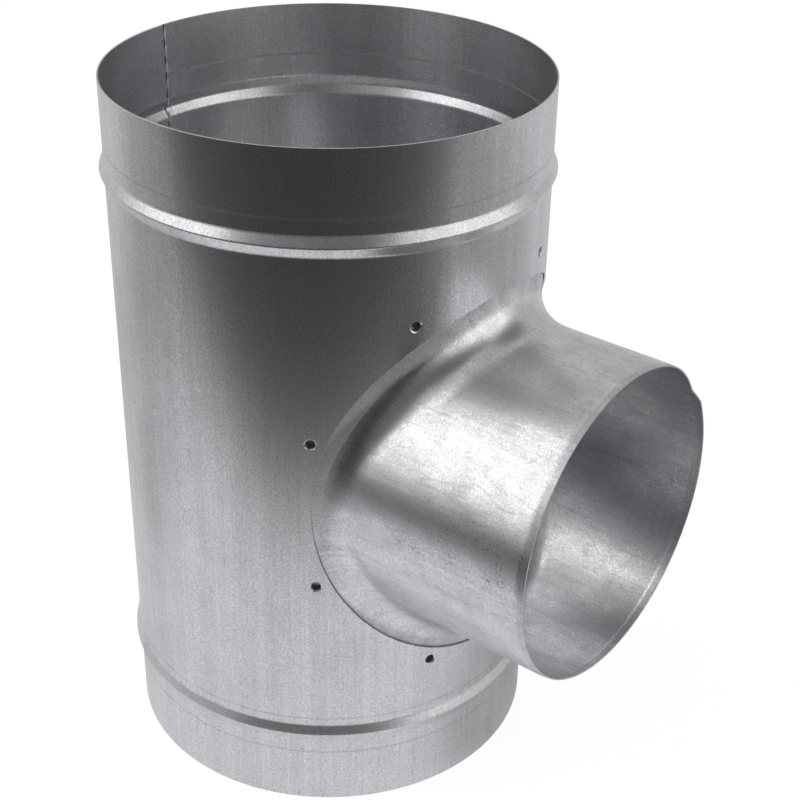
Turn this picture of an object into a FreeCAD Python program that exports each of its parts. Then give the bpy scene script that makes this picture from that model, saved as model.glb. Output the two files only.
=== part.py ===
import FreeCAD, Part
import Sketcher
import math
import os

# Reducing duct tee in galvanised sheet: a rolled main pipe with a lap seam, and a drawn branch collar
# whose saddle flange lies inside the pipe's side opening and is clinched to the sheet round it.
# Millimetres. The origin is the centre of the bottom rim, +Z runs along the pipe and +X along the branch.
SIZES = {
    # main pipe
    "pipe_outside_diameter": 149.2,
    "pipe_length": 248.3,
    "sheet_thickness": 0.5,
    "bead_setback": 30.6,
    "bead_width": 7.0,
    "bead_height": 1.6,
    # lap seam, on the wall opposite the branch
    "lap_edge_angle": 183.1,
    "lap_run_angle": 25.0,
    "lap_end_step": 0.02,
    # opening in the pipe's wall, measured on the flat sheet
    "opening_half_width": 70.4,
    "opening_half_height": 68.0,
    "opening_rise": 1.2,
    # branch collar
    "branch_height": 122.7,
    "branch_outside_diameter": 108.8,
    "branch_reach": 122.8,
    "flare_radius": 13.4,
    "flange_reach": 80.0,
    "flange_gap": 0.35,
    "spigot_length": 34.5,
    "spigot_taper_angle": 0.7,
    "lead_in_length": 3.2,
    "lead_in_drop": 0.25,
    # uneven trim of the branch's mouth, as angles from its top towards +Y and a depth
    "trim_start_angle": 20.0,
    "trim_step_angle": 56.5,
    "trim_end_angle": 62.0,
    "trim_depth": 2.4,
    # clinch points
    "clinch_rim_diameter": 4.2,
    "clinch_rim_depth": 0.3,
    "clinch_mouth_diameter": 3.4,
    "clinch_floor_diameter": 2.9,
    "clinch_depth": 1.9,
    "clinch_wall": 0.35,
    "clinch_fit_clearance": 0.05,
}

# Where each clinch point sits on the flat sheet round the branch: its angle from straight up, towards
# +Y, and its distance from the opening's edge. They were placed by hand, so they are a little uneven.
CLINCH_PLACES = [
    (18.0, 7.3),
    (67.5, 4.5),
    (112.5, 5.5),
    (157.5, 7.3),
    (203.1, 4.7),
    (247.7, 5.1),
    (291.0, 4.8),
    (330.9, 6.3),
]

# How many points carry the curve of an outline, how far a radial cutter reaches either side of the
# pipe's surface as a share of its radius, and how far any other cutter passes what it cuts.
OUTLINE_POINTS = 32
CUTTER_REACH = 0.1
BEYOND = 5.0
TOUCH = 0.01    # how close a point lies to a surface that it is on

doc = FreeCAD.newDocument("reducing_duct_tee")
sheet = doc.addObject("Spreadsheet::Sheet", "Sizes")


def fill_sheet():
    """Write every driving size into the sheet, one row each, under its own name."""
    cells = dict(SIZES)
    for number, (angle, margin) in enumerate(CLINCH_PLACES, start=1):
        cells["clinch_angle_%d" % number] = angle
        cells["clinch_margin_%d" % number] = margin
    for row, (name, value) in enumerate(cells.items(), start=1):
        sheet.set("A%d" % row, name)
        sheet.set("B%d" % row, str(value))
        sheet.setAlias("B%d" % row, name)
    doc.recompute()


def size(name):
    """A driving size, as a number of millimetres or degrees."""
    return float(sheet.get(name))


def cell(text):
    """The same expression with each size's name pointed at the sheet."""
    words = []
    for word in text.split(" "):
        words.append("Sizes." + word if word in SIZES else word)
    return " ".join(words)


def add_outline(sketch, corners):
    """Draw a closed outline whose corners keep to pairs of expressions, across and up."""
    places = []
    for across, up in corners:
        x = float(sheet.evalExpression(cell(across)))
        y = float(sheet.evalExpression(cell(up)))
        places.append(FreeCAD.Vector(x, y, 0))
    count = len(places)
    for index in range(count):
        sketch.addGeometry(Part.LineSegment(places[index], places[(index + 1) % count]), False)
    for index in range(count):
        sketch.addConstraint(Sketcher.Constraint("Coincident", index, 2, (index + 1) % count, 1))
    for index, (across, up) in enumerate(corners):
        for kind, value, text in (("DistanceX", places[index].x, across),
                                  ("DistanceY", places[index].y, up)):
            row = sketch.addConstraint(Sketcher.Constraint(kind, -1, 1, index, 1, value))
            sketch.setExpression("Constraints[%d]" % row, cell(text))


# Sheet profile

RADIUS = "( pipe_outside_diameter / 2 )"
FLANK = "atan( bead_height * 2 / bead_width )"
BEAD_HEIGHTS = ("bead_setback", "( pipe_length - bead_setback )")


def surface_line(depth):
    """Corners of the line that runs at this depth under the pipe's outer surface, from end to end."""
    wall = "%s - %s" % (RADIUS, depth)
    crest = "%s + bead_height - %s / cos( %s )" % (RADIUS, depth, FLANK)
    shift = "%s * tan( %s / 2 )" % (depth, FLANK)
    corners = [(wall, "0")]
    for middle in BEAD_HEIGHTS:
        corners.append((wall, "%s - bead_width / 2 + %s" % (middle, shift)))
        corners.append((crest, middle))
        corners.append((wall, "%s + bead_width / 2 - %s" % (middle, shift)))
    corners.append((wall, "pipe_length"))
    return corners


# Main pipe

def make_pipe_wall():
    """The rolled sheet with its two beads, as one full turn of the sheet's section."""
    body = doc.addObject("PartDesign::Body", "PipeWall")
    sketch = body.newObject("Sketcher::SketchObject", "WallSection")
    plane = [item for item in body.Origin.OriginFeatures if item.Role == "XZ_Plane"][0]
    sketch.AttachmentSupport = [(plane, "")]
    sketch.MapMode = "FlatFace"
    doc.recompute()
    add_outline(sketch, surface_line("0") + surface_line("sheet_thickness")[::-1])
    body.Placement.Rotation = FreeCAD.Rotation(FreeCAD.Vector(0, 0, 1), 180)
    turn = body.newObject("PartDesign::Revolution", "WallTurn")
    turn.Profile = sketch
    turn.ReferenceAxis = (sketch, ["V_Axis"])
    turn.Angle = 360.0
    body.Tip = turn
    doc.recompute()
    return body


def make_lap():
    """The sheet's inner end, which starts a full thickness proud and runs out into the wall.

    The inside of the lap is a turn of the sheet's section about an axis moved sideways, so that its
    step is the sheet's thickness at the lap's edge and shrinks to the end step over the lap's run.
    """
    turns = []
    for name, corners in (
            ("Lap", surface_line("( sheet_thickness / 2 )") + surface_line("( sheet_thickness * 3 )")[::-1]),
            ("LapInside", [("0", "0")] + surface_line("( sheet_thickness * 2 )") + [("0", "pipe_length")])):
        sketch = doc.addObject("Sketcher::SketchObject", name + "Section")
        sketch.Placement = FreeCAD.Placement(FreeCAD.Vector(), FreeCAD.Rotation(FreeCAD.Vector(1, 0, 0), 90))
        add_outline(sketch, corners)
        doc.recompute()
        turn = doc.addObject("Part::Revolution", name + "Turn")
        turn.Source = sketch
        turn.Axis = FreeCAD.Vector(0, 0, 1)
        turn.Base = FreeCAD.Vector(0, 0, 0)
        turn.Solid = True
        turn.Placement.Rotation = FreeCAD.Rotation(FreeCAD.Vector(0, 0, 1), 1)
        turn.setExpression("Placement.Rotation.Angle", cell("lap_edge_angle"))
        turns.append(turn)
    lap, inside = turns
    lap.setExpression("Angle", cell("lap_run_angle"))
    inside.Angle = 360
    shift = "( sheet_thickness - lap_end_step ) / sin( lap_run_angle )"
    inside.setExpression("Placement.Base.x", cell("-1 * sin( lap_edge_angle ) * %s" % shift))
    inside.setExpression("Placement.Base.y", cell("cos( lap_edge_angle ) * %s" % shift))
    doc.recompute()
    return cut("LapStrip", lap, inside)


def on_sheet(along, up):
    """The point of the pipe's outer surface at this place on the flat sheet, from the branch's axis."""
    radius = size("pipe_outside_diameter") / 2
    turn = along / radius
    return FreeCAD.Vector(radius * math.cos(turn), radius * math.sin(turn), size("branch_height") + up)


def outline_cutter(half_width, half_height, rise):
    """The radial surface through an ellipse on the flat sheet, from within the pipe to outside it."""
    points = []
    for index in range(OUTLINE_POINTS):
        turn = 2 * math.pi * index / OUTLINE_POINTS
        points.append(on_sheet(half_width * math.sin(turn), rise + half_height * math.cos(turn)))
    rings = []
    for scale in (1 - CUTTER_REACH, 1 + CUTTER_REACH):
        curve = Part.BSplineCurve()
        curve.interpolate([FreeCAD.Vector(p.x * scale, p.y * scale, p.z) for p in points],
                          PeriodicFlag=True)
        rings.append(curve.toShape())
    return Part.makeRuledSurface(rings[0], rings[1])


def part_along_branch(name, base, cutter, keep_inside):
    """The piece of a shape inside or outside a cutter's outline."""
    pieces = base.Shape.generalFuse([cutter])[0].Solids
    pieces.sort(key=lambda piece: piece.BoundBox.XMin)
    result = doc.addObject("Part::Feature", name)
    result.Shape = pieces[-1] if keep_inside else pieces[0]
    return result


def opening_edge_reach(turn):
    """How far the opening's edge lies from the branch's axis on the flat sheet, at an angle from its top."""
    rise = size("opening_rise")
    half_width = size("opening_half_width")
    half_height = size("opening_half_height")
    square = (math.sin(turn) / half_width) ** 2 + (math.cos(turn) / half_height) ** 2
    half_slope = math.cos(turn) * rise / half_height ** 2
    rest = 1 - (rise / half_height) ** 2
    return (half_slope + math.sqrt(half_slope ** 2 + square * rest)) / square


def clinch_radius(depth):
    """The inner radius of a clinch point's steep wall at a depth under the pipe's surface."""
    mouth = size("clinch_mouth_diameter") / 2
    floor = size("clinch_floor_diameter") / 2
    return mouth - (mouth - floor) * depth / size("clinch_depth")


def clinch_cone(number, start, start_radius, end, end_radius):
    """A cone at a clinch point, from one depth under the pipe's surface to another."""
    turn = math.radians(size("clinch_angle_%d" % number))
    reach = opening_edge_reach(turn) + size("clinch_margin_%d" % number)
    place = on_sheet(reach * math.sin(turn), reach * math.cos(turn))
    inward = FreeCAD.Vector(-place.x, -place.y, 0).normalize()
    return Part.makeCone(start_radius, end_radius, end - start, place + inward * start, inward)


def clinch_tool(name, extra_radius, start, end):
    """The steep wall's cone at every clinch point, as one group."""
    tool = doc.addObject("Part::Feature", name)
    numbers = range(1, len(CLINCH_PLACES) + 1)
    tool.Shape = Part.makeCompound([
        clinch_cone(number, start, clinch_radius(start) + extra_radius,
                    end, clinch_radius(end) + extra_radius)
        for number in numbers])
    return tool


def clinch_pits():
    """What is pressed out of the sheet at every clinch point: a rolled rim, then the steep wall."""
    rim = size("clinch_rim_diameter") / 2
    seat = size("clinch_rim_depth")
    slope = (rim - clinch_radius(seat)) / seat
    above = size("sheet_thickness")
    depth = size("clinch_depth")
    pits = []
    for number in range(1, len(CLINCH_PLACES) + 1):
        rolled = clinch_cone(number, -above, rim + slope * above, seat, clinch_radius(seat))
        steep = clinch_cone(number, seat, clinch_radius(seat), depth, clinch_radius(depth))
        pits.append(rolled.fuse(steep))
    tool = doc.addObject("Part::Feature", "PipePits")
    tool.Shape = Part.makeCompound(pits)
    return tool


def fuse(name, objects):
    """Several objects joined into one solid."""
    result = doc.addObject("Part::MultiFuse", name)
    result.Shapes = objects
    doc.recompute()
    return result


def cut(name, base, tool):
    """One object with another cut away."""
    result = doc.addObject("Part::Cut", name)
    result.Base = base
    result.Tool = tool
    doc.recompute()
    return result


def make_main_pipe():
    """The whole main pipe: wall, lap, side opening and clinched cups."""
    thickness = size("sheet_thickness")
    floor = size("clinch_depth") + size("clinch_wall")
    opening = outline_cutter(size("opening_half_width"), size("opening_half_height"),
                             size("opening_rise"))
    cups = clinch_tool("PipeCups", size("clinch_wall"), thickness / 2, floor)
    wall = fuse("WallWithLap", [make_pipe_wall(), make_lap()])
    opened = part_along_branch("OpenedWall", wall, opening, False)
    cupped = fuse("CuppedWall", [opened, cups])
    pipe = cut("MainPipe", cupped, clinch_pits())
    pipe.Label = "main_pipe"
    return pipe


# Branch collar

def flared_solid(prefix, saddle, branch, beyond, flare):
    """A solid cylinder across the pipe with the branch growing from it through a flare.

    The branch tapers in from the pipe, runs straight over the spigot's length and ends in its lead-in.
    """
    saddle_body = doc.addObject("Part::Cylinder", prefix + "Saddle")
    saddle_body.setExpression("Radius", cell(saddle))
    saddle_body.setExpression("Height", cell("2 * flange_reach + 2 * flare_radius"))
    saddle_body.Placement.Rotation = FreeCAD.Rotation(FreeCAD.Vector(0, 0, 1), 180)
    saddle_body.setExpression("Placement.Base.z", cell("branch_height - flange_reach - flare_radius"))

    root_length = "( branch_reach - spigot_length )"
    lead_length = "( lead_in_length + %s )" % beyond
    root = doc.addObject("Part::Cone", prefix + "Root")
    root.setExpression("Radius1", cell("%s + %s * tan( spigot_taper_angle )" % (branch, root_length)))
    root.setExpression("Radius2", cell(branch))
    root.setExpression("Height", cell(root_length))
    spigot = doc.addObject("Part::Cylinder", prefix + "Spigot")
    spigot.setExpression("Radius", cell(branch))
    spigot.setExpression("Height", cell("spigot_length - lead_in_length"))
    lead = doc.addObject("Part::Cone", prefix + "LeadIn")
    lead.setExpression("Radius1", cell(branch))
    lead.setExpression("Radius2", cell("%s - lead_in_drop * %s / lead_in_length" % (branch, lead_length)))
    lead.setExpression("Height", cell(lead_length))
    for piece, start in ((root, "0"), (spigot, root_length), (lead, "branch_reach - lead_in_length")):
        piece.Placement.Rotation = FreeCAD.Rotation(FreeCAD.Vector(0, 1, 0), 90)
        piece.setExpression("Placement.Base.x", cell(start))
        piece.setExpression("Placement.Base.z", cell("branch_height"))

    joined = fuse(prefix + "Joined", [saddle_body, root, spigot, lead])
    saddle_radius = float(saddle_body.Radius)
    crossing = []
    for number, edge in enumerate(joined.Shape.Edges, start=1):
        middle = edge.valueAt((edge.FirstParameter + edge.LastParameter) / 2)
        on_saddle = abs(math.hypot(middle.x, middle.y) - saddle_radius) < TOUCH
        from_axis = math.hypot(middle.y, middle.z - size("branch_height"))
        if on_saddle and middle.x > 0 and from_axis < float(root.Radius1) + TOUCH:
            crossing.append(number)
    flared = doc.addObject("Part::Fillet", prefix + "Flared")
    flared.Base = joined
    radius = float(sheet.evalExpression(cell(flare)))
    flared.Edges = [(number, radius, radius) for number in crossing]
    doc.recompute()
    return flared


def mouth_trim_tool():
    """The uneven end of the trimming cut, as a wedge taken off the mouth's edge."""
    radius = size("branch_outside_diameter") / 2
    reach = size("branch_reach")
    middle = math.radians((size("trim_start_angle") + size("trim_end_angle")) / 2)
    outward = FreeCAD.Vector(0, math.sin(middle), math.cos(middle))
    sideways = FreeCAD.Vector(0, math.cos(middle), -math.sin(middle))
    axis = FreeCAD.Vector(0, 0, size("branch_height"))
    corners = [("trim_start_angle", 0.0), ("trim_step_angle", size("trim_depth")), ("trim_end_angle", 0.0)]
    points = []
    for name, depth in corners:
        across = radius * math.sin(math.radians(size(name)) - middle)
        points.append(axis + sideways * across + FreeCAD.Vector(reach - depth, 0, 0))
    beyond = FreeCAD.Vector(BEYOND, 0, 0)
    ring = [points[0], points[1], points[2], points[2] + beyond, points[0] + beyond]
    face = Part.Face(Part.makePolygon(ring + [ring[0]]))
    tool = doc.addObject("Part::Feature", "MouthTrim")
    tool.Shape = face.extrude(outward * (radius + BEYOND))
    return tool


def make_branch_collar():
    """The drawn collar: spigot, flare and the saddle flange under the pipe's sheet."""
    thickness = size("sheet_thickness")
    flange = size("flange_reach")
    clearance = size("clinch_fit_clearance")
    pipe_floor = size("clinch_depth") + size("clinch_wall")
    outside = flared_solid("Outer", "%s - sheet_thickness - flange_gap" % RADIUS,
                           "branch_outside_diameter / 2", "0", "flare_radius")
    inside = flared_solid("Inner", "%s - 2 * sheet_thickness - flange_gap" % RADIUS,
                          "branch_outside_diameter / 2 - sheet_thickness", "lead_in_length",
                          "flare_radius + sheet_thickness")
    shell = cut("CollarShell", outside, inside)
    saddle = part_along_branch("CollarBlank", shell, outline_cutter(flange, flange, 0), True)
    trimmed = cut("TrimmedCollar", saddle, mouth_trim_tool())
    under = thickness + size("flange_gap") + thickness / 2
    cups = clinch_tool("CollarCups", 2 * size("clinch_wall") + clearance, under,
                       pipe_floor + clearance + size("clinch_wall"))
    cupped = fuse("CuppedCollar", [trimmed, cups])
    sockets = clinch_tool("CollarSockets", size("clinch_wall") + clearance, thickness,
                          pipe_floor + clearance)
    collar = cut("BranchCollar", cupped, sockets)
    collar.Label = "branch_collar"
    return collar


def check_document(parts):
    """Stop if any object failed or any part's shape is empty or broken."""
    for item in doc.Objects:
        for state in ("Invalid", "Error"):
            if state in item.State:
                raise RuntimeError("%s is %s" % (item.Label, item.State))
    for part in parts:
        if part.Shape.isNull() or not part.Shape.isValid() or len(part.Shape.Solids) != 1:
            raise RuntimeError("%s has no sound single solid" % part.Label)


fill_sheet()
tee = [make_main_pipe(), make_branch_collar()]
doc.recompute()
check_document(tee)
os.makedirs("parts", exist_ok=True)
for piece in tee:
    piece.Shape.exportStep("parts/%s.step" % piece.Label)
    box = piece.Shape.BoundBox
    print("%s: %d solid, %.0f mm3, x %.1f to %.1f, y %.1f to %.1f, z %.1f to %.1f" % (
        piece.Label, len(piece.Shape.Solids), piece.Shape.Volume,
        box.XMin, box.XMax, box.YMin, box.YMax, box.ZMin, box.ZMax))
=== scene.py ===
"""Looks of a reducing duct tee in galvanised sheet steel: its finishes, studio and camera."""

import logging
import math
from dataclasses import dataclass
from enum import Enum
from typing import Any

import bmesh
import bpy
from mathutils import Matrix, Vector


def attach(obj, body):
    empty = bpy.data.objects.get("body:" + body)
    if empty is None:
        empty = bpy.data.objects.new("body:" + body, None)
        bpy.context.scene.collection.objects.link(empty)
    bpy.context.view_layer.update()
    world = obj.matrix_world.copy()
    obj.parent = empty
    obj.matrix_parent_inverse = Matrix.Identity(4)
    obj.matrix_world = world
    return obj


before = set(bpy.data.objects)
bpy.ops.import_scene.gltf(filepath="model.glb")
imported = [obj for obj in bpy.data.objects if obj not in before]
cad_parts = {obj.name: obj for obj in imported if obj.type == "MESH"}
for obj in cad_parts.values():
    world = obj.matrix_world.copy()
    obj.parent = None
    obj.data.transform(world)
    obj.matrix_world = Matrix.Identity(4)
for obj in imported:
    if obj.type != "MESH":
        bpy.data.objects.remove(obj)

log = logging.getLogger("duct_tee")
MM = 0.001
Socket = bpy.types.NodeSocket
Triple = tuple[float, float, float]

# Sizes of the CAD model that the finishes keep to, in millimetres.
PIPE_RADIUS = 74.6
PIPE_LENGTH = 248.3
SHEET = 0.5
BEAD_SETBACK = 30.6
BEAD_HALF_WIDTH = 3.5
BEAD_HEIGHT = 1.6
BRANCH_HEIGHT = 122.7
BRANCH_RADIUS = 54.4
BRANCH_REACH = 122.8
LAP_EDGE_ANGLE = 183.1

# What the patterns share.
NOISE_MIDDLE = 0.5
NOISE_ROUGHNESS = 0.6
LINE_CORE = 0.4
SMOOTH = {"interpolation_type": "SMOOTHSTEP"}
# A Mix node of colours has them at these inputs, and its result at this output.
MIX_FIRST, MIX_SECOND, MIX_RESULT = 6, 7, 2


class Piece(Enum):
    """The CAD pieces that the finishes dress."""

    PIPE = "main_pipe"
    COLLAR = "branch_collar"


def linear(hex_colour: str) -> tuple[float, float, float, float]:
    """Turn an sRGB hex colour into the linear colour that a shader socket takes.

    Args:
        hex_colour: six hex digits, with or without a leading #.

    Returns:
        Red, green, blue and an alpha of 1, each from 0 to 1.
    """
    digits = hex_colour.lstrip("#")
    parts = [int(digits[i:i + 2], 16) / 255 for i in (0, 2, 4)]
    red, green, blue = [p / 12.92 if p <= 0.04045 else ((p + 0.055) / 1.055) ** 2.4 for p in parts]
    return red, green, blue, 1.0


@dataclass(frozen=True)
class Nodes:
    """The nodes of one material or world, and the patterns that several of them make up."""

    tree: bpy.types.NodeTree

    def add(self, kind: str, *values: Any, inputs: dict[int | str, Any] | None = None,
            output: int | str | None = 0, **settings: Any) -> Socket | None:
        """Add a node with its settings and links.

        Args:
            kind: the node's type, without the ShaderNode that it begins with.
            *values: what the first inputs get, in their order. A socket is linked.
            inputs: what further inputs get, by their number or name.
            output: the number or name of the output that is wanted, or None for a last node.
            **settings: properties of the node itself.

        Returns:
            The wanted output.
        """
        node = self.tree.nodes.new(f"ShaderNode{kind}")
        for name, setting in settings.items():
            setattr(node, name, setting)
        for key, value in {**dict(enumerate(values)), **(inputs or {})}.items():
            if isinstance(value, Socket):
                self.tree.links.new(value, node.inputs[key])
            else:
                node.inputs[key].default_value = value
        return None if output is None else node.outputs[output]

    def place(self) -> Socket:
        """The point on the part, in millimetres from the foot of the pipe's axis."""
        point = self.add("TexCoord", output="Object")
        return self.add("VectorMath", point, inputs={"Scale": 1 / MM}, operation="SCALE")

    def total(self, start: float, *shares: tuple[Socket, float]) -> Socket:
        """Add patterns up, each by how far it is from its middle.

        Args:
            start: the sum where every pattern is at its middle.
            *shares: each pattern, from 0 to 1, and how much of it counts.

        Returns:
            The sum.
        """
        result: Any = start
        for pattern, share in shares:
            swing = self.add("Math", pattern, NOISE_MIDDLE, operation="SUBTRACT")
            result = self.add("Math", swing, share, result, operation="MULTIPLY_ADD")
        return result

    def away(self, value: Any, level: float) -> Socket:
        """How far a value is from a level, on either side."""
        return self.add("Math", self.add("Math", value, level, operation="SUBTRACT"),
                        operation="ABSOLUTE")

    def length(self, first: Socket, second: Socket) -> Socket:
        """Measure a line by its two parts at right angles.

        Args:
            first: the line's part along one axis.
            second: its part along the other.

        Returns:
            The line's length.
        """
        squares = [self.add("Math", part, part, operation="MULTIPLY") for part in (first, second)]
        return self.add("Math", self.add("Math", *squares, operation="ADD"), operation="SQRT")

    def line(self, value: Any, level: float, half_width: float) -> Socket:
        """Draw a soft line where a value is at a level.

        Args:
            value: what is measured.
            level: where the line's middle is.
            half_width: how far from the middle the line ends.

        Returns:
            1 on the line and 0 away from it.
        """
        return self.add("MapRange", self.away(value, level), half_width * LINE_CORE, half_width,
                        1.0, 0.0, **SMOOTH)

    def hump(self, away: Socket, half_width: float) -> Socket:
        """Draw the parabola that rounds off a corner of the wall's outline.

        Args:
            away: the distance from the corner.
            half_width: how far from the corner the rounding ends.

        Returns:
            1 at the corner, falling to 0 where the rounding ends.
        """
        share = self.add("Math", away, half_width, operation="DIVIDE")
        short = self.add("Math", 1.0, share, operation="SUBTRACT")
        near = self.add("Math", short, 0.0, operation="MAXIMUM")
        return self.add("Math", near, near, operation="MULTIPLY")


# Finishes


@dataclass(frozen=True)
class Skin:
    """How the zinc lies at a point.

    The shade goes from dull 0 to bright 1, the height is in millimetres, dark is the share of dark
    marks and of painted shade, and rough is added to the roughness.
    """

    shade: Any
    height: Any
    dark: Any = 0.0
    rough: Any = 0.0


@dataclass(frozen=True)
class Zinc:
    """Hot-dip galvanised steel sheet with minimised spangle: soft grey metal with a blurred shine.

    The dull colour stands where the zinc is grained or greyed, the bright one where it is smooth.
    The cut edges are very slightly rounded, so they catch the light.
    """

    name: str
    bright: str
    dull: str
    roughness: float
    roughness_swing: float
    # The colour of dark pits, and of painted shade in recesses and gaps.
    mark_and_shade: str = "#17181a"
    edge_radius: float = 0.12
    edge_samples: int = 4

    def build(self) -> bpy.types.Material:
        """Make the material's nodes.

        Returns:
            The finished material.
        """
        material = bpy.data.materials.new(self.name)
        material.use_nodes = True
        material.node_tree.nodes.clear()
        nodes = Nodes(material.node_tree)
        skin = self.surface(nodes, nodes.place())
        colour = nodes.add("Mix", skin.shade, output=MIX_RESULT, data_type="RGBA", inputs={
            MIX_FIRST: linear(self.dull), MIX_SECOND: linear(self.bright)})
        # Dark marks and painted shade are laid over the zinc's colour here.
        marked_and_shaded = nodes.add("Mix", skin.dark, output=MIX_RESULT, data_type="RGBA", inputs={
            MIX_FIRST: colour, MIX_SECOND: linear(self.mark_and_shade)})
        even = nodes.add("MapRange", skin.shade, 0.0, 1.0, self.roughness + self.roughness_swing,
                         self.roughness - self.roughness_swing)
        rough = nodes.add("Math", even, skin.rough, operation="ADD")
        edges = nodes.add("Bevel", self.edge_radius * MM, samples=self.edge_samples)
        bump = nodes.add("Bump", inputs={"Strength": 1.0, "Distance": MM, "Height": skin.height,
                                         "Normal": edges})
        metal = nodes.add("BsdfPrincipled", inputs={"Base Color": marked_and_shaded, "Metallic": 1.0,
                                                    "Roughness": rough, "Normal": bump})
        nodes.add("OutputMaterial", metal, output=None)
        return material

    def surface(self, nodes: Nodes, place: Socket) -> Skin:
        """How the zinc lies, which each sheet says for itself."""
        raise NotImplementedError


@dataclass(frozen=True)
class RolledZinc(Zinc):
    """The pipe's sheet: fine upright grain from rolling, a sandy touch, and rounded bead crests.

    The beading rollers leave faint witness lines beside each bead. Round the lap's edge painted
    shadow darkens the gap between the stitches, and painted shade darkens the inside of the clinch
    cups. The real sand is about 0.2 mm; it is drawn coarser, so that it shows. Lengths are in
    millimetres, heights are from the pipe's foot, and each share is how much of a pattern goes into
    the shade.
    """

    grain_across: float = 0.7
    grain_along: float = 45.0
    grain_share: float = 0.5
    grain_depth: float = 0.0016
    streak_across: float = 5.6
    streak_share: float = 0.5
    cloud_size: float = 18.0
    cloud_share: float = 0.4
    sand_size: float = 0.55
    sand_share: float = 1.7
    sand_depth: float = 0.01
    cup_mouth: float = 0.4
    cup_floor: float = 1.4
    cup_painted_shade: float = 0.65
    crest_half_width: float = 0.45
    root_half_width: float = 0.6
    witness_heights: tuple[float, ...] = (21.7, 37.1, 226.3)
    witness_rough: float = 0.05
    inner_witness_heights: tuple[float, ...] = (18.6, 229.8)
    inner_witness_rough: float = 0.2
    witness_half_width: float = 0.5
    witness_shade: float = -6.0
    gap_beside: float = -0.6
    gap_half_width: float = 0.6
    dash_pitch: float = 6.0
    dash_start: float = -0.5
    dash_full: float = 0.1

    def surface(self, nodes: Nodes, place: Socket) -> Skin:
        """Lay the grain, sand, witness lines and bead crests, painted shadow by the lap and painted
        shade in the cups.

        Args:
            nodes: the material's nodes.
            place: the point on the part.

        Returns:
            The skin at that point.
        """
        x, y, z = nodes.add("SeparateXYZ", place).node.outputs
        squeezed = nodes.add("Math", z, self.grain_along / self.grain_across, operation="DIVIDE")
        upright = nodes.add("CombineXYZ", x, y, squeezed)
        grain, streaks, sand, clouds = [
            nodes.add("TexNoise", inputs={"Vector": where, "Scale": 1 / size, "Detail": detail,
                                          "Roughness": NOISE_ROUGHNESS})
            for where, size, detail in ((upright, self.grain_across, 2.0),
                                        (upright, self.streak_across, 2.0),
                                        (place, self.sand_size, 1.0),
                                        (place, self.cloud_size, 3.0))]
        outside = self._outside(nodes, x, y)
        lines = self._lines(nodes, z, outside)
        even = nodes.total(NOISE_MIDDLE, (grain, self.grain_share), (streaks, self.streak_share),
                           (clouds, self.cloud_share), (sand, self.sand_share))
        shade = nodes.add("Math", lines, self.witness_shade, even, operation="MULTIPLY_ADD")
        fine = nodes.total(0.0, (grain, self.grain_depth), (sand, self.sand_depth))
        crest = nodes.add("Math", self._crest(nodes, z), outside, operation="MULTIPLY")
        height = nodes.add("Math", fine, crest, operation="ADD")
        # Painted shadow in the lap's gap and painted shade in the clinch cups.
        dark = nodes.add("Math", self._lap_gap_shadow(nodes, x, y, z), self._cup_painted_shade(nodes, x, y, outside),
                         operation="MAXIMUM")
        return Skin(shade, height, dark, lines)

    def _outside(self, nodes: Nodes, x: Socket, y: Socket) -> Socket:
        """Tell the two sides of the wall apart.

        Args:
            nodes: the material's nodes.
            x: the point's place along X.
            y: the point's place along Y.

        Returns:
            1 on the outside of the wall and -1 on its inside.
        """
        normal = nodes.add("NewGeometry", output="True Normal")
        outwards = nodes.add("CombineXYZ", x, y, 0.0)
        facing = nodes.add("VectorMath", normal, outwards, output="Value", operation="DOT_PRODUCT")
        return nodes.add("Math", facing, operation="SIGN")

    def _cup_painted_shade(self, nodes: Nodes, x: Socket, y: Socket, outside: Socket) -> Socket:
        """Paint shade inside the clinch cups, which lie under the wall's outside.

        Args:
            nodes: the material's nodes.
            x: the point's place along X.
            y: the point's place along Y.
            outside: 1 on the outside of the wall and -1 on its inside.

        Returns:
            The share of painted shade.
        """
        # Painted shade: the cups' insides darken with depth below the wall's outside.
        deep = nodes.add("MapRange", nodes.length(x, y), PIPE_RADIUS - self.cup_mouth,
                         PIPE_RADIUS - self.cup_floor, 0.0, self.cup_painted_shade, **SMOOTH)
        here = nodes.add("Math", outside, 0.0, operation="MAXIMUM")
        return nodes.add("Math", deep, here, operation="MULTIPLY")

    def _lines(self, nodes: Nodes, z: Socket, outside: Socket) -> Socket:
        """Draw the beading rollers' witness lines, each on its own side of the wall.

        Args:
            nodes: the material's nodes.
            z: the point's height.
            outside: 1 on the outside of the wall and -1 on its inside.

        Returns:
            The roughness that the lines add.
        """
        total: Any = 0.0
        for heights, side, rough in ((self.witness_heights, 1.0, self.witness_rough),
                                     (self.inner_witness_heights, -1.0, self.inner_witness_rough)):
            here = nodes.add("Math", outside, side, 0.5, operation="COMPARE")
            for height in heights:
                line = nodes.add("Math", nodes.line(z, height, self.witness_half_width), here,
                                 operation="MULTIPLY")
                total = nodes.add("Math", line, rough, total, operation="MULTIPLY_ADD")
        return total

    def _crest(self, nodes: Nodes, z: Socket) -> Socket:
        """Round the beads' crests and roots, which are sharp folds in the CAD model.

        Args:
            nodes: the material's nodes.
            z: the point's height.

        Returns:
            How far the rounded outline lies over the sharp one.
        """
        middle = PIPE_LENGTH / 2
        slope = BEAD_HEIGHT / BEAD_HALF_WIDTH
        from_bead = nodes.away(nodes.away(z, middle), middle - BEAD_SETBACK)
        from_root = nodes.away(from_bead, BEAD_HALF_WIDTH)
        # The slope turns round fully at the crest and by half as much at a root.
        drop = nodes.add("Math", nodes.hump(from_bead, self.crest_half_width),
                         -slope * self.crest_half_width / 2, operation="MULTIPLY")
        return nodes.add("Math", nodes.hump(from_root, self.root_half_width),
                         slope * self.root_half_width / 4, drop, operation="MULTIPLY_ADD")

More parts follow.
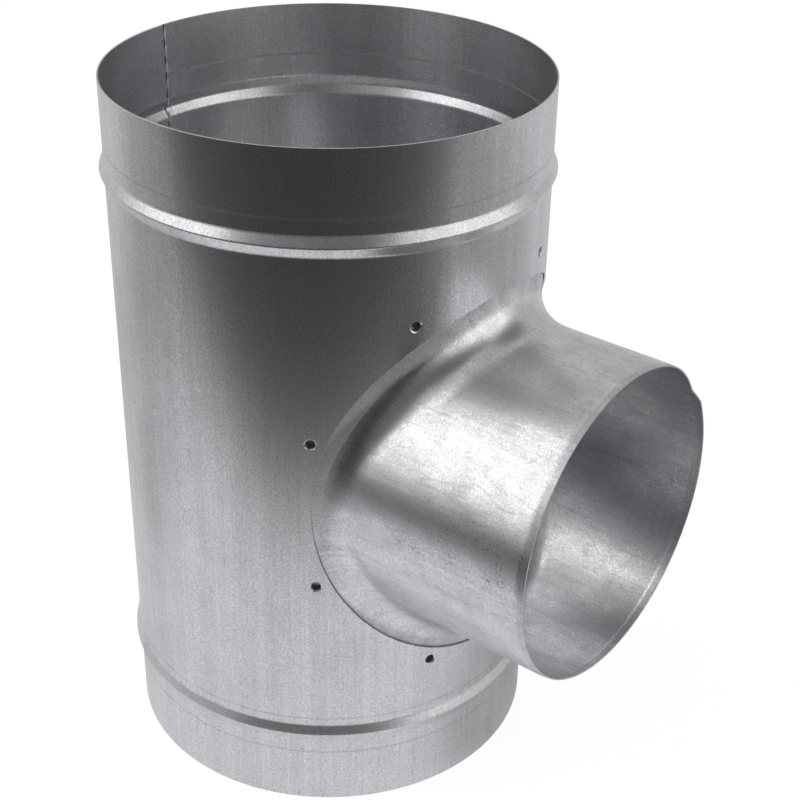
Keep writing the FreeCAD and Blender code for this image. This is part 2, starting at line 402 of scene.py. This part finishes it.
    def _lap_gap_shadow(self, nodes: Nodes, x: Socket, y: Socket, z: Socket) -> Socket:
        """Paint shadow as dark dashes in the gap beside the lap's edge, one between each two
        stitches.

        Args:
            nodes: the material's nodes.
            x: the point's place along X.
            y: the point's place along Y.
            z: the point's height.

        Returns:
            The share of painted shadow.
        """
        turn = math.radians(LAP_EDGE_ANGLE)
        flat = nodes.add("CombineXYZ", x, y, 0.0)
        beside = nodes.add("VectorMath", flat, (-math.sin(turn), math.cos(turn), 0.0),
                           output="Value", operation="DOT_PRODUCT")
        # Painted shadow: the gap beside the lap's edge, cut into dashes between the stitches.
        gap = nodes.line(beside, self.gap_beside, self.gap_half_width)
        behind = nodes.add("Math", x, 0.0, operation="LESS_THAN")
        edge = nodes.add("Math", gap, behind, operation="MULTIPLY")
        wave = nodes.add("Math", z, 2 * math.pi / self.dash_pitch, operation="MULTIPLY")
        dash = nodes.add("MapRange", nodes.add("Math", wave, operation="SINE"), self.dash_start,
                         self.dash_full, **SMOOTH)
        return nodes.add("Math", edge, dash, operation="MULTIPLY")


@dataclass(frozen=True)
class DrawnZinc(Zinc):
    """The collar's sheet: zinc dragged into streaks along the pull, with specks and pits.

    The streaks run along the branch and out over the flare. Cloudy patches, thin flow lines and
    fine bright specks lie over them, and on the branch's near side small dark pits. The real specks
    and pits are about 0.3 mm; they are drawn coarser, so that they show. Lengths are in
    millimetres, and each share is how much of a pattern goes into the shade.
    """

    streak_across: float = 1.6
    streak_along: float = 40.0
    streak_share: float = 0.6
    broad_across: float = 9.6
    broad_swirl: float = 0.5
    broad_share: float = 0.5
    patch_size: float = 9.0
    patch_share: float = 1.1
    speck_size: float = 0.6
    speck_share: float = 1.6
    bright_specks: tuple[float, float] = (0.6, 0.72)
    bright_share: float = 0.2
    flow_size: float = 16.0
    flow_stretch: float = 3.5
    flow_swirl: float = 0.4
    flow_half_width: float = 0.012
    flow_share: float = -0.2
    relief_depth: float = 0.012
    streak_relief: float = 0.5
    patch_relief: float = 3.0
    flange_radius: float = 61.5
    flange_run: float = 2.5
    flange_rough: float = 0.28
    flare_start: float = 0.4
    flare_full: float = 2.0
    flare_rough: float = -0.03
    lip_length: float = 2.4
    lip_slope: float = 0.06
    lip_run: float = 0.9
    lip_painted_shade: float = 0.25
    scratch_side: float = -51.1
    scratch_half_width: float = 0.25
    scratch_middle: float = 72.0
    scratch_half: float = 17.0
    scratch_rough: float = 0.2
    pit_size: float = 0.65
    pit_levels: tuple[float, float] = (0.62, 0.7)
    pit_dark: float = 0.75
    pit_side: float = -81.0
    pit_band: tuple[float, float] = (0.965, 0.997)
    pit_cluster_size: float = 7.0
    pit_cluster_levels: tuple[float, float] = (0.4, 0.58)
    pit_reach: tuple[float, float] = (72.0, 82.0)

    def surface(self, nodes: Nodes, place: Socket) -> Skin:
        """Lay the streaks, patches, flow lines, specks and pits; tilt the mouth's lead-in and paint
        shade on it.

        Args:
            nodes: the material's nodes.
            place: the point on the part.

        Returns:
            The skin at that point.
        """
        x, y, z = nodes.add("SeparateXYZ", place).node.outputs
        up = nodes.add("Math", z, BRANCH_HEIGHT, operation="SUBTRACT")
        from_axis = nodes.length(y, up)
        side, rise = [
            nodes.add("Math", nodes.add("Math", part, from_axis, operation="DIVIDE"), BRANCH_RADIUS,
                      operation="MULTIPLY") for part in (y, up)]
        run = nodes.add("Math", x, from_axis, operation="SUBTRACT")
        pulled, flowing = [
            nodes.add("CombineXYZ", nodes.add("Math", run, stretch, operation="DIVIDE"), side, rise)
            for stretch in (self.streak_along / self.streak_across, self.flow_stretch)]
        streaks, broad, patches, specks, flow = [
            nodes.add("TexNoise", inputs={"Vector": where, "Scale": 1 / size, "Detail": detail,
                                          "Roughness": NOISE_ROUGHNESS, "Distortion": swirl})
            for where, size, detail, swirl in ((pulled, self.streak_across, 2.0, 0.0),
                                               (pulled, self.broad_across, 3.0, self.broad_swirl),
                                               (place, self.patch_size, 4.0, 0.0),
                                               (place, self.speck_size, 2.0, 0.0),
                                               (flowing, self.flow_size, 3.0, self.flow_swirl))]
        shade = nodes.total(NOISE_MIDDLE, (streaks, self.streak_share), (broad, self.broad_share),
                            (patches, self.patch_share), (specks, self.speck_share))
        bright = nodes.add("MapRange", specks, *self.bright_specks, **SMOOTH)
        shade = nodes.add("Math", bright, self.bright_share, shade, operation="MULTIPLY_ADD")
        flow_line = nodes.line(flow, NOISE_MIDDLE, self.flow_half_width)
        shade = nodes.add("Math", flow_line, self.flow_share, shade, operation="MULTIPLY_ADD")
        lip = nodes.add("Math", nodes.add("Math", x, BRANCH_REACH - self.lip_length,
                                          operation="SUBTRACT"), 0.0, operation="MAXIMUM")
        # Painted shade: the lead-in's colour is dulled; its tilt is the bump below.
        dull = nodes.add("MapRange", lip, 0.0, self.lip_run, 0.0, self.lip_painted_shade, **SMOOTH)
        shade = nodes.add("Math", shade, dull, operation="SUBTRACT")
        relief = nodes.total(0.0, (streaks, self.relief_depth * self.streak_relief),
                             (specks, self.relief_depth),
                             (patches, self.relief_depth * self.patch_relief))
        relief = nodes.add("Math", lip, -self.lip_slope, relief, operation="MULTIPLY_ADD")
        rough = self._rough(nodes, x, side, from_axis)
        return Skin(shade, relief, self._pits(nodes, place, side, rise), rough)

    def _rough(self, nodes: Nodes, x: Socket, side: Socket, from_axis: Socket) -> Socket:
        """Make the flange matt, the flare a little smoother, and the long scratch rough.

        Args:
            nodes: the material's nodes.
            x: the point's place along the branch.
            side: how far round the branch the point is.
            from_axis: the point's distance from the branch's axis.

        Returns:
            What is added to the roughness.
        """
        flange = nodes.add("MapRange", from_axis, self.flange_radius,
                           self.flange_radius + self.flange_run, **SMOOTH)
        past_branch = nodes.add("MapRange", from_axis, BRANCH_RADIUS + self.flare_start,
                                BRANCH_RADIUS + self.flare_full, **SMOOTH)
        before_flange = nodes.add("Math", 1.0, flange, operation="SUBTRACT")
        flare = nodes.add("Math", past_branch, before_flange, operation="MULTIPLY")
        rough = nodes.add("Math", flare, self.flare_rough, operation="MULTIPLY")
        rough = nodes.add("Math", flange, self.flange_rough, rough, operation="MULTIPLY_ADD")
        scratch = nodes.add("Math", nodes.line(side, self.scratch_side, self.scratch_half_width),
                            nodes.line(x, self.scratch_middle, self.scratch_half),
                            operation="MULTIPLY")
        return nodes.add("Math", scratch, self.scratch_rough, rough, operation="MULTIPLY_ADD")

    def _pits(self, nodes: Nodes, place: Socket, side: Socket, rise: Socket) -> Socket:
        """Scatter small dark pits in clusters, in a band along the branch's near side.

        Args:
            nodes: the material's nodes.
            place: the point on the part.
            side: the way out from the branch's axis to the point, sideways.
            rise: the way out from the branch's axis to the point, upwards.

        Returns:
            The share of dark.
        """
        turn = math.radians(self.pit_side)
        around = nodes.add("CombineXYZ", side, rise, 0.0)
        facing = nodes.add("VectorMath", around, (math.sin(turn), math.cos(turn), 0.0),
                           output="Value", operation="DOT_PRODUCT")
        near = nodes.add("Math", facing, BRANCH_RADIUS, operation="DIVIDE")
        clusters, pits = [
            nodes.add("TexNoise", inputs={"Vector": place, "Scale": 1 / size, "Detail": detail,
                                          "Roughness": NOISE_ROUGHNESS})
            for size, detail in ((self.pit_cluster_size, 2.0), (self.pit_size, 1.0))]
        x = nodes.add("SeparateXYZ", place, output="X")
        band, cluster, pit, on_branch = [
            nodes.add("MapRange", value, *levels, 0.0, full, **SMOOTH)
            for value, levels, full in ((near, self.pit_band, 1.0),
                                        (clusters, self.pit_cluster_levels, 1.0),
                                        (pits, self.pit_levels, self.pit_dark),
                                        (x, self.pit_reach, 1.0))]
        where = nodes.add("Math", band, cluster, operation="MULTIPLY")
        dark = nodes.add("Math", pit, where, operation="MULTIPLY")
        return nodes.add("Math", dark, on_branch, operation="MULTIPLY")


@dataclass(frozen=True)
class StitchZinc(Zinc):
    """The lap's stitches: small smooth blisters of zinc, brighter and softer than the sheet."""

    fine_size: float = 0.4
    fine_depth: float = 0.01

    def surface(self, nodes: Nodes, place: Socket) -> Skin:
        """Smooth zinc with a fine unevenness."""
        fine = nodes.add("TexNoise", inputs={"Vector": place, "Scale": 1 / self.fine_size,
                                             "Detail": 1.0, "Roughness": NOISE_ROUGHNESS})
        return Skin(fine, nodes.total(0.0, (fine, self.fine_depth)))


PIPE_SHEET = RolledZinc("galvanised_rolled_sheet", bright="#fafafc", dull="#c3c4c6",
                        roughness=0.29, roughness_swing=0.03)
COLLAR_SHEET = DrawnZinc("galvanised_drawn_sheet", bright="#f8f8fa", dull="#c8c9cc",
                         roughness=0.31, roughness_swing=0.07)
STITCH_SHEET = StitchZinc("stitched_zinc", bright="#fafafa", dull="#e6e7e8",
                          roughness=0.5, roughness_swing=0.04)


# The tee


@dataclass(frozen=True)
class LapStitches:
    """The row of stitches pressed along the lap's edge, on the inside of the wall. Millimetres."""

    finish: Zinc = STITCH_SHEET
    pitch: float = 6.0
    first: float = 4.5
    half_length: float = 2.3
    half_width: float = 0.5
    proud: float = 0.45
    beside: float = 1.3
    segments: int = 10
    rings: int = 6

    def build(self) -> bpy.types.Object:
        """Make the stitches as one object on the pipe.

        Returns:
            The object.
        """
        form = bmesh.new()
        for level in self.levels():
            self._stitch(form, level)
        mesh = bpy.data.meshes.new("lap_stitches")
        form.to_mesh(mesh)
        form.free()
        mesh.polygons.foreach_set("use_smooth", [True] * len(mesh.polygons))
        stitches = bpy.data.objects.new("lap_stitches", mesh)
        bpy.context.scene.collection.objects.link(stitches)
        mesh.materials.append(self.finish.build())
        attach(stitches, "root")
        return stitches

    def levels(self) -> list[float]:
        """The height of each stitch."""
        count = int((PIPE_LENGTH - self.first) / self.pitch) + 1
        return [self.first + number * self.pitch for number in range(count)]

    def wall(self, level: float) -> float:
        """The radius of the wall's inside at this height, beads included."""
        from_bead = min(abs(level - bead) for bead in (BEAD_SETBACK, PIPE_LENGTH - BEAD_SETBACK))
        return PIPE_RADIUS - SHEET + BEAD_HEIGHT * max(0.0, 1.0 - from_bead / BEAD_HALF_WIDTH)

    def _stitch(self, form: bmesh.types.BMesh, level: float) -> None:
        """Add one blister, long along the edge and lying on the wall beside it.

        Args:
            form: the mesh that gets it.
            level: its height.
        """
        radius = self.wall(level) * MM
        turn = math.radians(LAP_EDGE_ANGLE) - self.beside * MM / radius
        made = bmesh.ops.create_uvsphere(form, u_segments=self.segments, v_segments=self.rings,
                                         radius=1.0)
        size = Matrix.Diagonal((self.proud * MM, self.half_width * MM, self.half_length * MM, 1.0))
        place = Matrix.Translation((radius * math.cos(turn), radius * math.sin(turn), level * MM))
        bmesh.ops.transform(form, verts=made["verts"],
                            matrix=place @ Matrix.Rotation(turn, 4, "Z") @ size)


@dataclass(frozen=True)
class DuctTee:
    """The tee's CAD pieces, each in its own finish."""

    pipe: Zinc = PIPE_SHEET
    collar: Zinc = COLLAR_SHEET

    def dress(self) -> dict[str, str]:
        """Give each CAD piece its finish.

        Returns:
            Each piece's name, with that of its finish.
        """
        dressed = {Piece.PIPE: self.pipe, Piece.COLLAR: self.collar}
        for piece, finish in dressed.items():
            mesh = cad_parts[piece.value].data
            material = finish.build()
            for number in range(len(mesh.materials)):
                mesh.materials[number] = material
        return {piece.value: finish.name for piece, finish in dressed.items()}


# Studio and camera


@dataclass(frozen=True)
class FloorShade:
    """A round shade on the table, down to its level at the centre. Metres."""

    x: float
    y: float
    reach: float
    level: float


@dataclass(frozen=True)
class RoomPatch:
    """A dark patch of the room, by how near a direction comes to its own."""

    towards: Triple
    edge: float
    full: float
    level: float


@dataclass(frozen=True)
class Studio:
    """A white table whose front runs out into a darker room, under one large soft lamp.

    The sheet shows the table in its upright walls, and the dark front as a soft dark band. The
    camera sees a plain white ground with the object's shadow. Lengths are in metres, and each level
    is a share of the brightness.
    """

    brightness: float = 0.7
    front: Triple = (0.5, -0.866, 0.0)

    table_half: float = 4.0
    table_drop: float = 0.05 * MM
    table_tint: str = "#fcfdff"
    table_matt: str = "#f2f2f2"
    table_glow: float = 1.2
    shadow_share: float = 0.25
    near_centre: Triple = (0.03, -0.09, 0.0)
    near_reach: float = 0.17
    far_reach: float = 0.45
    back_reach: float = -0.4
    back_level: float = 0.9
    middle_reach: float = 0.1
    middle_level: float = 0.46
    front_start: float = 0.19
    front_full: float = 0.33
    front_level: float = 0.04
    inside_reach: float = 0.068
    outside_reach: float = 0.073
    inside_level: float = 0.35
    shades: tuple[FloorShade, ...] = (
        FloorShade(0.09, 0.06, 0.1, 0.5), FloorShade(0.085, 0.0, 0.04, 0.72),
        FloorShade(-0.2, -0.12, 0.11, 0.66), FloorShade(-0.09, -0.07, 0.06, 0.86),
        FloorShade(0.38, 0.46, 0.3, 0.68))

    horizon_level: float = 0.85
    zenith_level: float = 0.95
    zenith_start: float = 0.7
    room_front_level: float = 0.24
    room_front_ahead: tuple[float, float] = (0.66, 0.85)
    room_front_up: tuple[float, float] = (0.47, 0.62)
    side_light: Triple = (0.907, 0.33, 0.259)
    side_light_edge: float = 0.78
    side_light_full: float = 0.94
    side_light_level: float = 1.05
    dark_patches: tuple[RoomPatch, ...] = (
        RoomPatch((0.6425, -0.4172, 0.643), 0.9, 0.97, 0.2),
        RoomPatch((0.694, -0.024, 0.719), 0.95, 0.985, 0.25),
        RoomPatch((0.335, 0.58, 0.743), 0.9, 0.97, 0.3))

    lamp_azimuth: float = -134.0
    lamp_elevation: float = 38.0
    lamp_distance: float = 1.15
    lamp_size: tuple[float, float] = (1.3, 1.2)
    lamp_power: float = 4.1
    aim: Triple = (0.03, 0.0, 0.13)

    def build(self) -> None:
        """Make the table, the room and the lamp."""
        self._table()
        self._room()
        self._lamp()

    def _table(self) -> None:
        """Make the table's top, as one wide flat face under the object."""
        mesh = bpy.data.meshes.new("table")
        form = bmesh.new()
        bmesh.ops.create_grid(form, x_segments=1, y_segments=1, size=self.table_half)
        bmesh.ops.translate(form, verts=form.verts, vec=(0, 0, -self.table_drop))
        form.to_mesh(mesh)
        form.free()
        table = bpy.data.objects.new("table", mesh)
        bpy.context.scene.collection.objects.link(table)
        table.data.materials.append(self._table_finish())

    def _table_finish(self) -> bpy.types.Material:
        """Make the table white to the camera, with the object's shadow, and shaded otherwise.

        Returns:
            The finished material.
        """
        material = bpy.data.materials.new("white_table")
        material.use_nodes = True
        material.node_tree.nodes.clear()
        nodes = Nodes(material.node_tree)
        place = nodes.add("TexCoord", output="Object")
        glow = nodes.add("Emission", inputs={"Color": linear(self.table_tint),
                                             "Strength": self._table_level(nodes, place)})
        matt = nodes.add("BsdfDiffuse", linear(self.table_matt))
        plain = nodes.add("Emission", inputs={"Strength": self.table_glow})
        white = nodes.add("MixShader", self.shadow_share, plain, matt)
        self._show(nodes, "OutputMaterial", glow, white)
        return material

    def _table_level(self, nodes: Nodes, place: Socket) -> Socket:
        """Shade the table: bright round the object, greyer far off, dark in front and inside it.

        Args:
            nodes: the table's nodes.
            place: the point on the table.

        Returns:
            How strongly the table shines at that point.
        """
        forward = nodes.add("VectorMath", place, self.front, output="Value",
                            operation="DOT_PRODUCT")
        from_near, from_middle = [
            nodes.add("VectorMath", place, centre, output="Value", operation="DISTANCE")
            for centre in (self.near_centre, (0.0, 0.0, 0.0))]
        far = nodes.add("MapRange", forward, self.back_reach, self.middle_reach, self.back_level,
                        self.middle_level, **SMOOTH)
        near = nodes.add("MapRange", from_near, self.near_reach, self.far_reach, 1.0, far, **SMOOTH)
        level = nodes.add("MapRange", forward, self.front_start, self.front_full, near,
                          self.front_level, **SMOOTH)
        inside = nodes.add("MapRange", from_middle, self.inside_reach, self.outside_reach,
                           self.inside_level, 1.0, **SMOOTH)
        shown = nodes.add("Math", level, self.brightness, operation="MULTIPLY")
        shown = nodes.add("Math", shown, inside, operation="MULTIPLY")
        for shade in self.shades:
            away = nodes.add("VectorMath", place, (shade.x, shade.y, 0.0), output="Value",
                             operation="DISTANCE")
            dim = nodes.add("MapRange", away, 0.0, shade.reach, shade.level, 1.0, **SMOOTH)
            shown = nodes.add("Math", shown, dim, operation="MULTIPLY")
        return shown

    def _show(self, nodes: Nodes, last: str, shaded: Socket, white: Socket) -> None:
        """Give the camera the white surface, and every other ray the shaded one.

        Args:
            nodes: the table's or the room's nodes.
            last: the kind of the output node.
            shaded: the surface that the sheet shows.
            white: the surface that the camera sees.
        """
        camera_ray = nodes.add("LightPath", output="Is Camera Ray")
        nodes.add(last, nodes.add("MixShader", camera_ray, shaded, white), output=None)

    def _room(self) -> None:
        """Make the room: white to the camera, and otherwise pale with dark parts in front."""
        world = bpy.data.worlds.new("room")
        world.use_nodes = True
        world.node_tree.nodes.clear()
        nodes = Nodes(world.node_tree)
        shaded = nodes.add("Background", inputs={"Strength": self._room_level(nodes)})
        white = nodes.add("Background", inputs={"Strength": 1.0})
        self._show(nodes, "OutputWorld", shaded, white)
        bpy.context.scene.world = world

    def _room_level(self, nodes: Nodes) -> Socket:
        """Shade the room by direction, and add the light from the side.

        Args:
            nodes: the room's nodes.

        Returns:
            How strongly the room shines from a direction.
        """
        direction = nodes.add("TexCoord", output="Generated")
        up = nodes.add("SeparateXYZ", direction, output="Z")
        ways = [self.front, self.side_light, *(patch.towards for patch in self.dark_patches)]
        forward, sideways, *nearness = [
            nodes.add("VectorMath", direction, way, output="Value", operation="DOT_PRODUCT")
            for way in ways]
        level = nodes.add("MapRange", up, 0.0, self.zenith_start,
                          self.horizon_level * self.brightness,
                          self.zenith_level * self.brightness, **SMOOTH)
        ahead = nodes.add("MapRange", forward, *self.room_front_ahead, **SMOOTH)
        low = nodes.add("MapRange", up, *self.room_front_up, 1.0, 0.0, **SMOOTH)
        front = nodes.add("Math", ahead, low, operation="MULTIPLY")
        level = nodes.add("MapRange", front, 0.0, 1.0, level,
                          self.room_front_level * self.brightness)
        for patch, near in zip(self.dark_patches, nearness):
            over = nodes.add("MapRange", near, patch.edge, patch.full, **SMOOTH)
            level = nodes.add("MapRange", over, 0.0, 1.0, level, patch.level * self.brightness)
        aside = nodes.add("MapRange", sideways, self.side_light_edge, self.side_light_full, 0.0,
                          self.side_light_level * self.brightness, **SMOOTH)
        return nodes.add("Math", level, aside, operation="ADD")

    def _lamp(self) -> None:
        """Make the soft lamp, to the camera's left and above."""
        data = bpy.data.lights.new("soft_lamp", "AREA")
        data.shape = "RECTANGLE"
        data.size, data.size_y = self.lamp_size
        data.energy = self.lamp_power
        lamp = bpy.data.objects.new("soft_lamp", data)
        turn, rise = math.radians(self.lamp_azimuth), math.radians(self.lamp_elevation)
        away = Vector((math.cos(turn) * math.cos(rise), math.sin(turn) * math.cos(rise),
                       math.sin(rise)))
        lamp.location = Vector(self.aim) + away * self.lamp_distance
        lamp.rotation_euler = away.to_track_quat("Z", "Y").to_euler()
        bpy.context.scene.collection.objects.link(lamp)


@dataclass(frozen=True)
class Viewpoint:
    """The camera, where the photograph was taken from. Metres, with the lens in millimetres."""

    place: Triple = (0.3233, -0.3694, 0.4055)
    right: Triple = (0.77903256, 0.62675839, 0.01679853)
    up: Triple = (-0.32358417, 0.3789632, 0.86699491)
    lens: float = 69.75
    sensor: float = 36.0
    clip_start: float = 0.01

    def build(self) -> None:
        """Make the camera and set it as the scene's own."""
        data = bpy.data.cameras.new("viewpoint")
        data.lens = self.lens
        data.sensor_width = self.sensor
        data.sensor_fit = "HORIZONTAL"
        data.clip_start = self.clip_start
        camera = bpy.data.objects.new("viewpoint", data)
        right, up = Vector(self.right), Vector(self.up)
        turn = Matrix((right, up, right.cross(up))).transposed().to_4x4()
        camera.matrix_world = Matrix.Translation(self.place) @ turn
        bpy.context.scene.collection.objects.link(camera)
        bpy.context.scene.camera = camera


def main() -> None:
    """Build the camera and the studio, dress the tee, and make the lap's stitches."""
    logging.basicConfig(level=logging.INFO, format="%(name)s: %(message)s")
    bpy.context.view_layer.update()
    Viewpoint().build()
    Studio().build()
    for piece, finish in DuctTee().dress().items():
        log.info("%s is dressed in %s", piece, finish)
    stitches = LapStitches().build()
    log.info("%s is made and dressed in %s", stitches.name, STITCH_SHEET.name)
    bpy.context.scene.view_settings.view_transform = "Standard"


if __name__ == "__main__":
    main()
